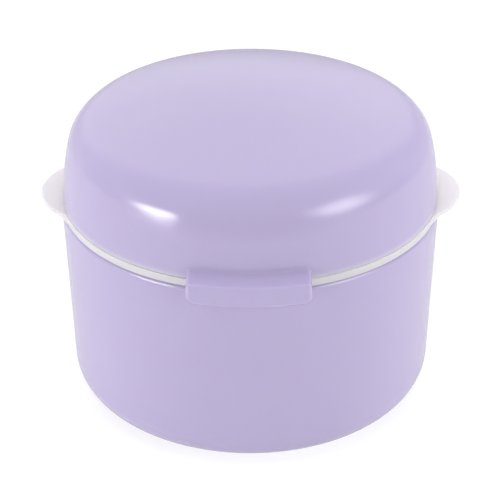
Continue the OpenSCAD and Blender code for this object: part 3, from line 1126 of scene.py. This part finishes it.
bright_area = eased(towards.outputs["Value"], 0.62, 0.95, 0.06, 1.15)
low_down = eased(parts.outputs["Z"], 0.05, 0.35, 0.55, 0.0)
behind = eased(parts.outputs["Y"], 0.2, 0.55, 0.0, 1.0)
low_strip = math_node(tree, "MULTIPLY", low_down, behind)
wall = math_node(tree, "MAXIMUM", bright_area, low_strip)
strength = math_node(tree, "MAXIMUM", seen.outputs["Is Camera Ray"], wall)
tree.links.new(strength, sky.inputs["Strength"])
print("surroundings:", len(tree.nodes), "nodes, brightest towards", bright_way)

# %% [markdown]
# ## Lights
#
# Four soft panels do the lighting: a wide one above and a little behind, a faint one in front
# and one on each side. The photograph shows no lamp mirrored in the lilac but for two soft
# highlights on the shoulder, so the panels only light, and the highlights are the mirror images
# of two cards at the front left and front right. A card's place follows from the mirror rule:
# the view ray, turned back at the surface, has to meet it. Each card is brightest at one spot
# and fades towards its edges, which shapes the highlight.

# %% Softboxes
card_edge_share = 0.03


def softbox(name, place, target, size, power, glow=None):
    """A rectangular area light aimed at a target in mm.

    A card's glow is its bright spot: middle across and up, then reach across and up, each as a
    share of its size. A panel has none, and isn't mirrored.
    """
    data = bpy.data.lights.new(name, "AREA")
    data.shape = "RECTANGLE"
    data.size, data.size_y = size
    data.energy = power
    lamp = bpy.data.objects.new(name, data)
    scene.collection.objects.link(lamp)
    lamp.location = place
    aim = Vector(target) * mm - Vector(place)
    lamp.rotation_euler = aim.to_track_quat("-Z", "Y").to_euler()
    lamp.visible_glossy = bool(glow)
    if glow:
        data.use_nodes = True
        tree = data.node_tree
        sheet = tree.nodes.new("ShaderNodeNewGeometry")
        spot = tree.nodes.new("ShaderNodeVectorMath")
        spot.operation = "SUBTRACT"
        spot.inputs[1].default_value = (glow[0], glow[1], 0)
        wide = tree.nodes.new("ShaderNodeVectorMath")
        wide.operation = "MULTIPLY"
        wide.inputs[1].default_value = (1 / glow[2], 1 / glow[3], 0)
        away = tree.nodes.new("ShaderNodeVectorMath")
        away.operation = "LENGTH"
        fade = tree.nodes.new("ShaderNodeMapRange")
        fade.interpolation_type = "SMOOTHERSTEP"
        fade.inputs["To Min"].default_value = 1.0
        fade.inputs["To Max"].default_value = card_edge_share
        tree.links.new(sheet.outputs["Parametric"], spot.inputs[0])
        tree.links.new(spot.outputs[0], wide.inputs[0])
        tree.links.new(wide.outputs[0], away.inputs[0])
        tree.links.new(away.outputs["Value"], fade.inputs["Value"])
        tree.links.new(fade.outputs["Result"], tree.nodes["Emission"].inputs["Strength"])
    return lamp


def mirrored(point, azimuth, elevation, distance):
    """A place in a direction from a point: azimuth from the front towards +X, in degrees."""
    a, e = math.radians(azimuth), math.radians(elevation)
    ray = Vector((math.sin(a) * math.cos(e), -math.cos(a) * math.cos(e), math.sin(e)))
    return Vector(point) * mm + distance * ray


# %% Panels and cards
middle = (0, 0, 50)
panel_distance, card_distance = 0.6, 0.5
softbox("overhead panel", (0, 0.06, 0.92), middle, (1.1, 0.85), 6.3)
for name, azimuth, height_angle, size, power in (
    ("front panel", 0, 40, (0.25, 0.2), 0.09),
    ("left panel", -85, 5, (0.4, 0.4), 0.85),
    ("right panel", 85, 5, (0.4, 0.4), 0.88),
):
    place = mirrored(middle, azimuth, height_angle, panel_distance)
    softbox(name, place, middle, size, power)
left_spot = (-19.4, -35.6, 59.6)
right_spot = (19.5, -34.5, 62.1)
for name, spot, azimuth, height_angle, size, power, glow in (
    ("left card", left_spot, -62, 1, (0.37, 0.3), 6.1, (0.65, 0.5, 0.62, 0.43)),
    ("right card", right_spot, 56.5, 14, (0.5, 0.5), 5.3, (0.5, 0.5, 0.58, 0.5)),
):
    place = mirrored(spot, azimuth, height_angle, card_distance)
    softbox(name, place, spot, size, power, glow)

# %% [markdown]
# ## Camera
#
# The place and lens were fitted to the photograph's outline of cup and lid: 400 mm from the
# middle of the cup's rim, looking down by about 30 degrees, with a long lens. The tab stands
# slightly left of the middle there and the rim slopes a little, so the camera stands half a
# degree to the side and is rolled by a quarter of a degree.

# %% Camera
rim = Vector((0, 0, cup_h))
distance = 0.4
aside, elevation, pitch = (math.radians(a) for a in (0.5, 27.99, 29.81))
yaw, roll = math.radians(0.026), math.radians(-0.28)
lens, film_width = 127.2, 36.0
camera_data = bpy.data.cameras.new("camera")
camera_data.lens = lens
camera_data.sensor_width = film_width
camera = bpy.data.objects.new("camera", camera_data)
camera.location = rim + distance * Vector((
    math.sin(aside) * math.cos(elevation),
    -math.cos(aside) * math.cos(elevation),
    math.sin(elevation),
))
camera.rotation_euler = (math.pi / 2 - pitch, 0, aside + yaw)
camera.rotation_euler.rotate_axis("Z", roll)
scene.collection.objects.link(camera)
scene.camera = camera
scene.view_settings.view_transform = "Standard"
print("camera at", [round(c / mm, 1) for c in camera.location], "mm")

# %% Measure and finish
low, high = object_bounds()
gap = max(abs(a - b) for a, b in zip((*low, *high), (*cad_low, *cad_high)))
print("the skin differs from the solids' box by at most", round(gap / mm, 3), "mm")
